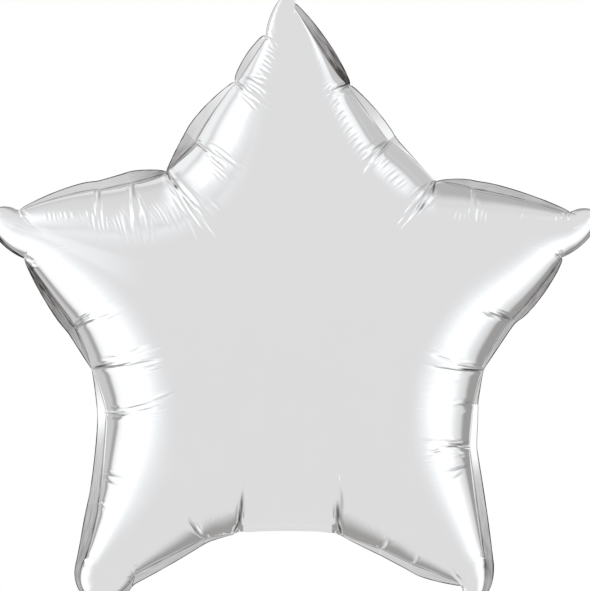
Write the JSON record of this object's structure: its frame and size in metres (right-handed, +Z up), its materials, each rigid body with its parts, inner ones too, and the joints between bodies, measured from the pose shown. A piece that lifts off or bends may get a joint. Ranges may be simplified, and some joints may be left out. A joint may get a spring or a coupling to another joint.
{
  "type": "star foil balloon",
  "caption": "Inflated five-pointed star balloon of plain silver metallised film, with a welded rim and a folding filling tail.",
  "frame": {"origin": "middle of the star in the plane of its weld, on the mount air", "axes": "+Z up through the top point of the star, +X to the right seen from the front, -Y out of the front panel"},
  "size_m": [0.4466, 0.1389, 0.446],
  "materials": {
    "silver_film": "metallised polyester film, mirror-bright, finely creased towards the weld",
    "weld_film": "two plies of the same film heat-welded flat, with a dull pressed line",
    "tail_film": "unstretched metallised film, softly creased",
    "clear_film": "thin clear film of the self-closing valve"
  },
  "bodies": {
    "envelope": {"front_panel": "silver_film", "back_panel": "silver_film", "weld_band": "weld_film"},
    "tail": {"tail_fold": "tail_film", "tail_outer_ply": "tail_film", "tail_inner_ply": "tail_film", "tail_weld_left": "weld_film", "tail_weld_right": "weld_film", "valve_film": "clear_film"}
  },
  "joints": [
    {"name": "tail_hinge", "type": "hinge", "parent": "envelope", "child": "tail", "pos_m": [0, 0.0018, -0.1521], "axis": [-1, 0, 0], "range_deg": [0, 126]}
  ]
}
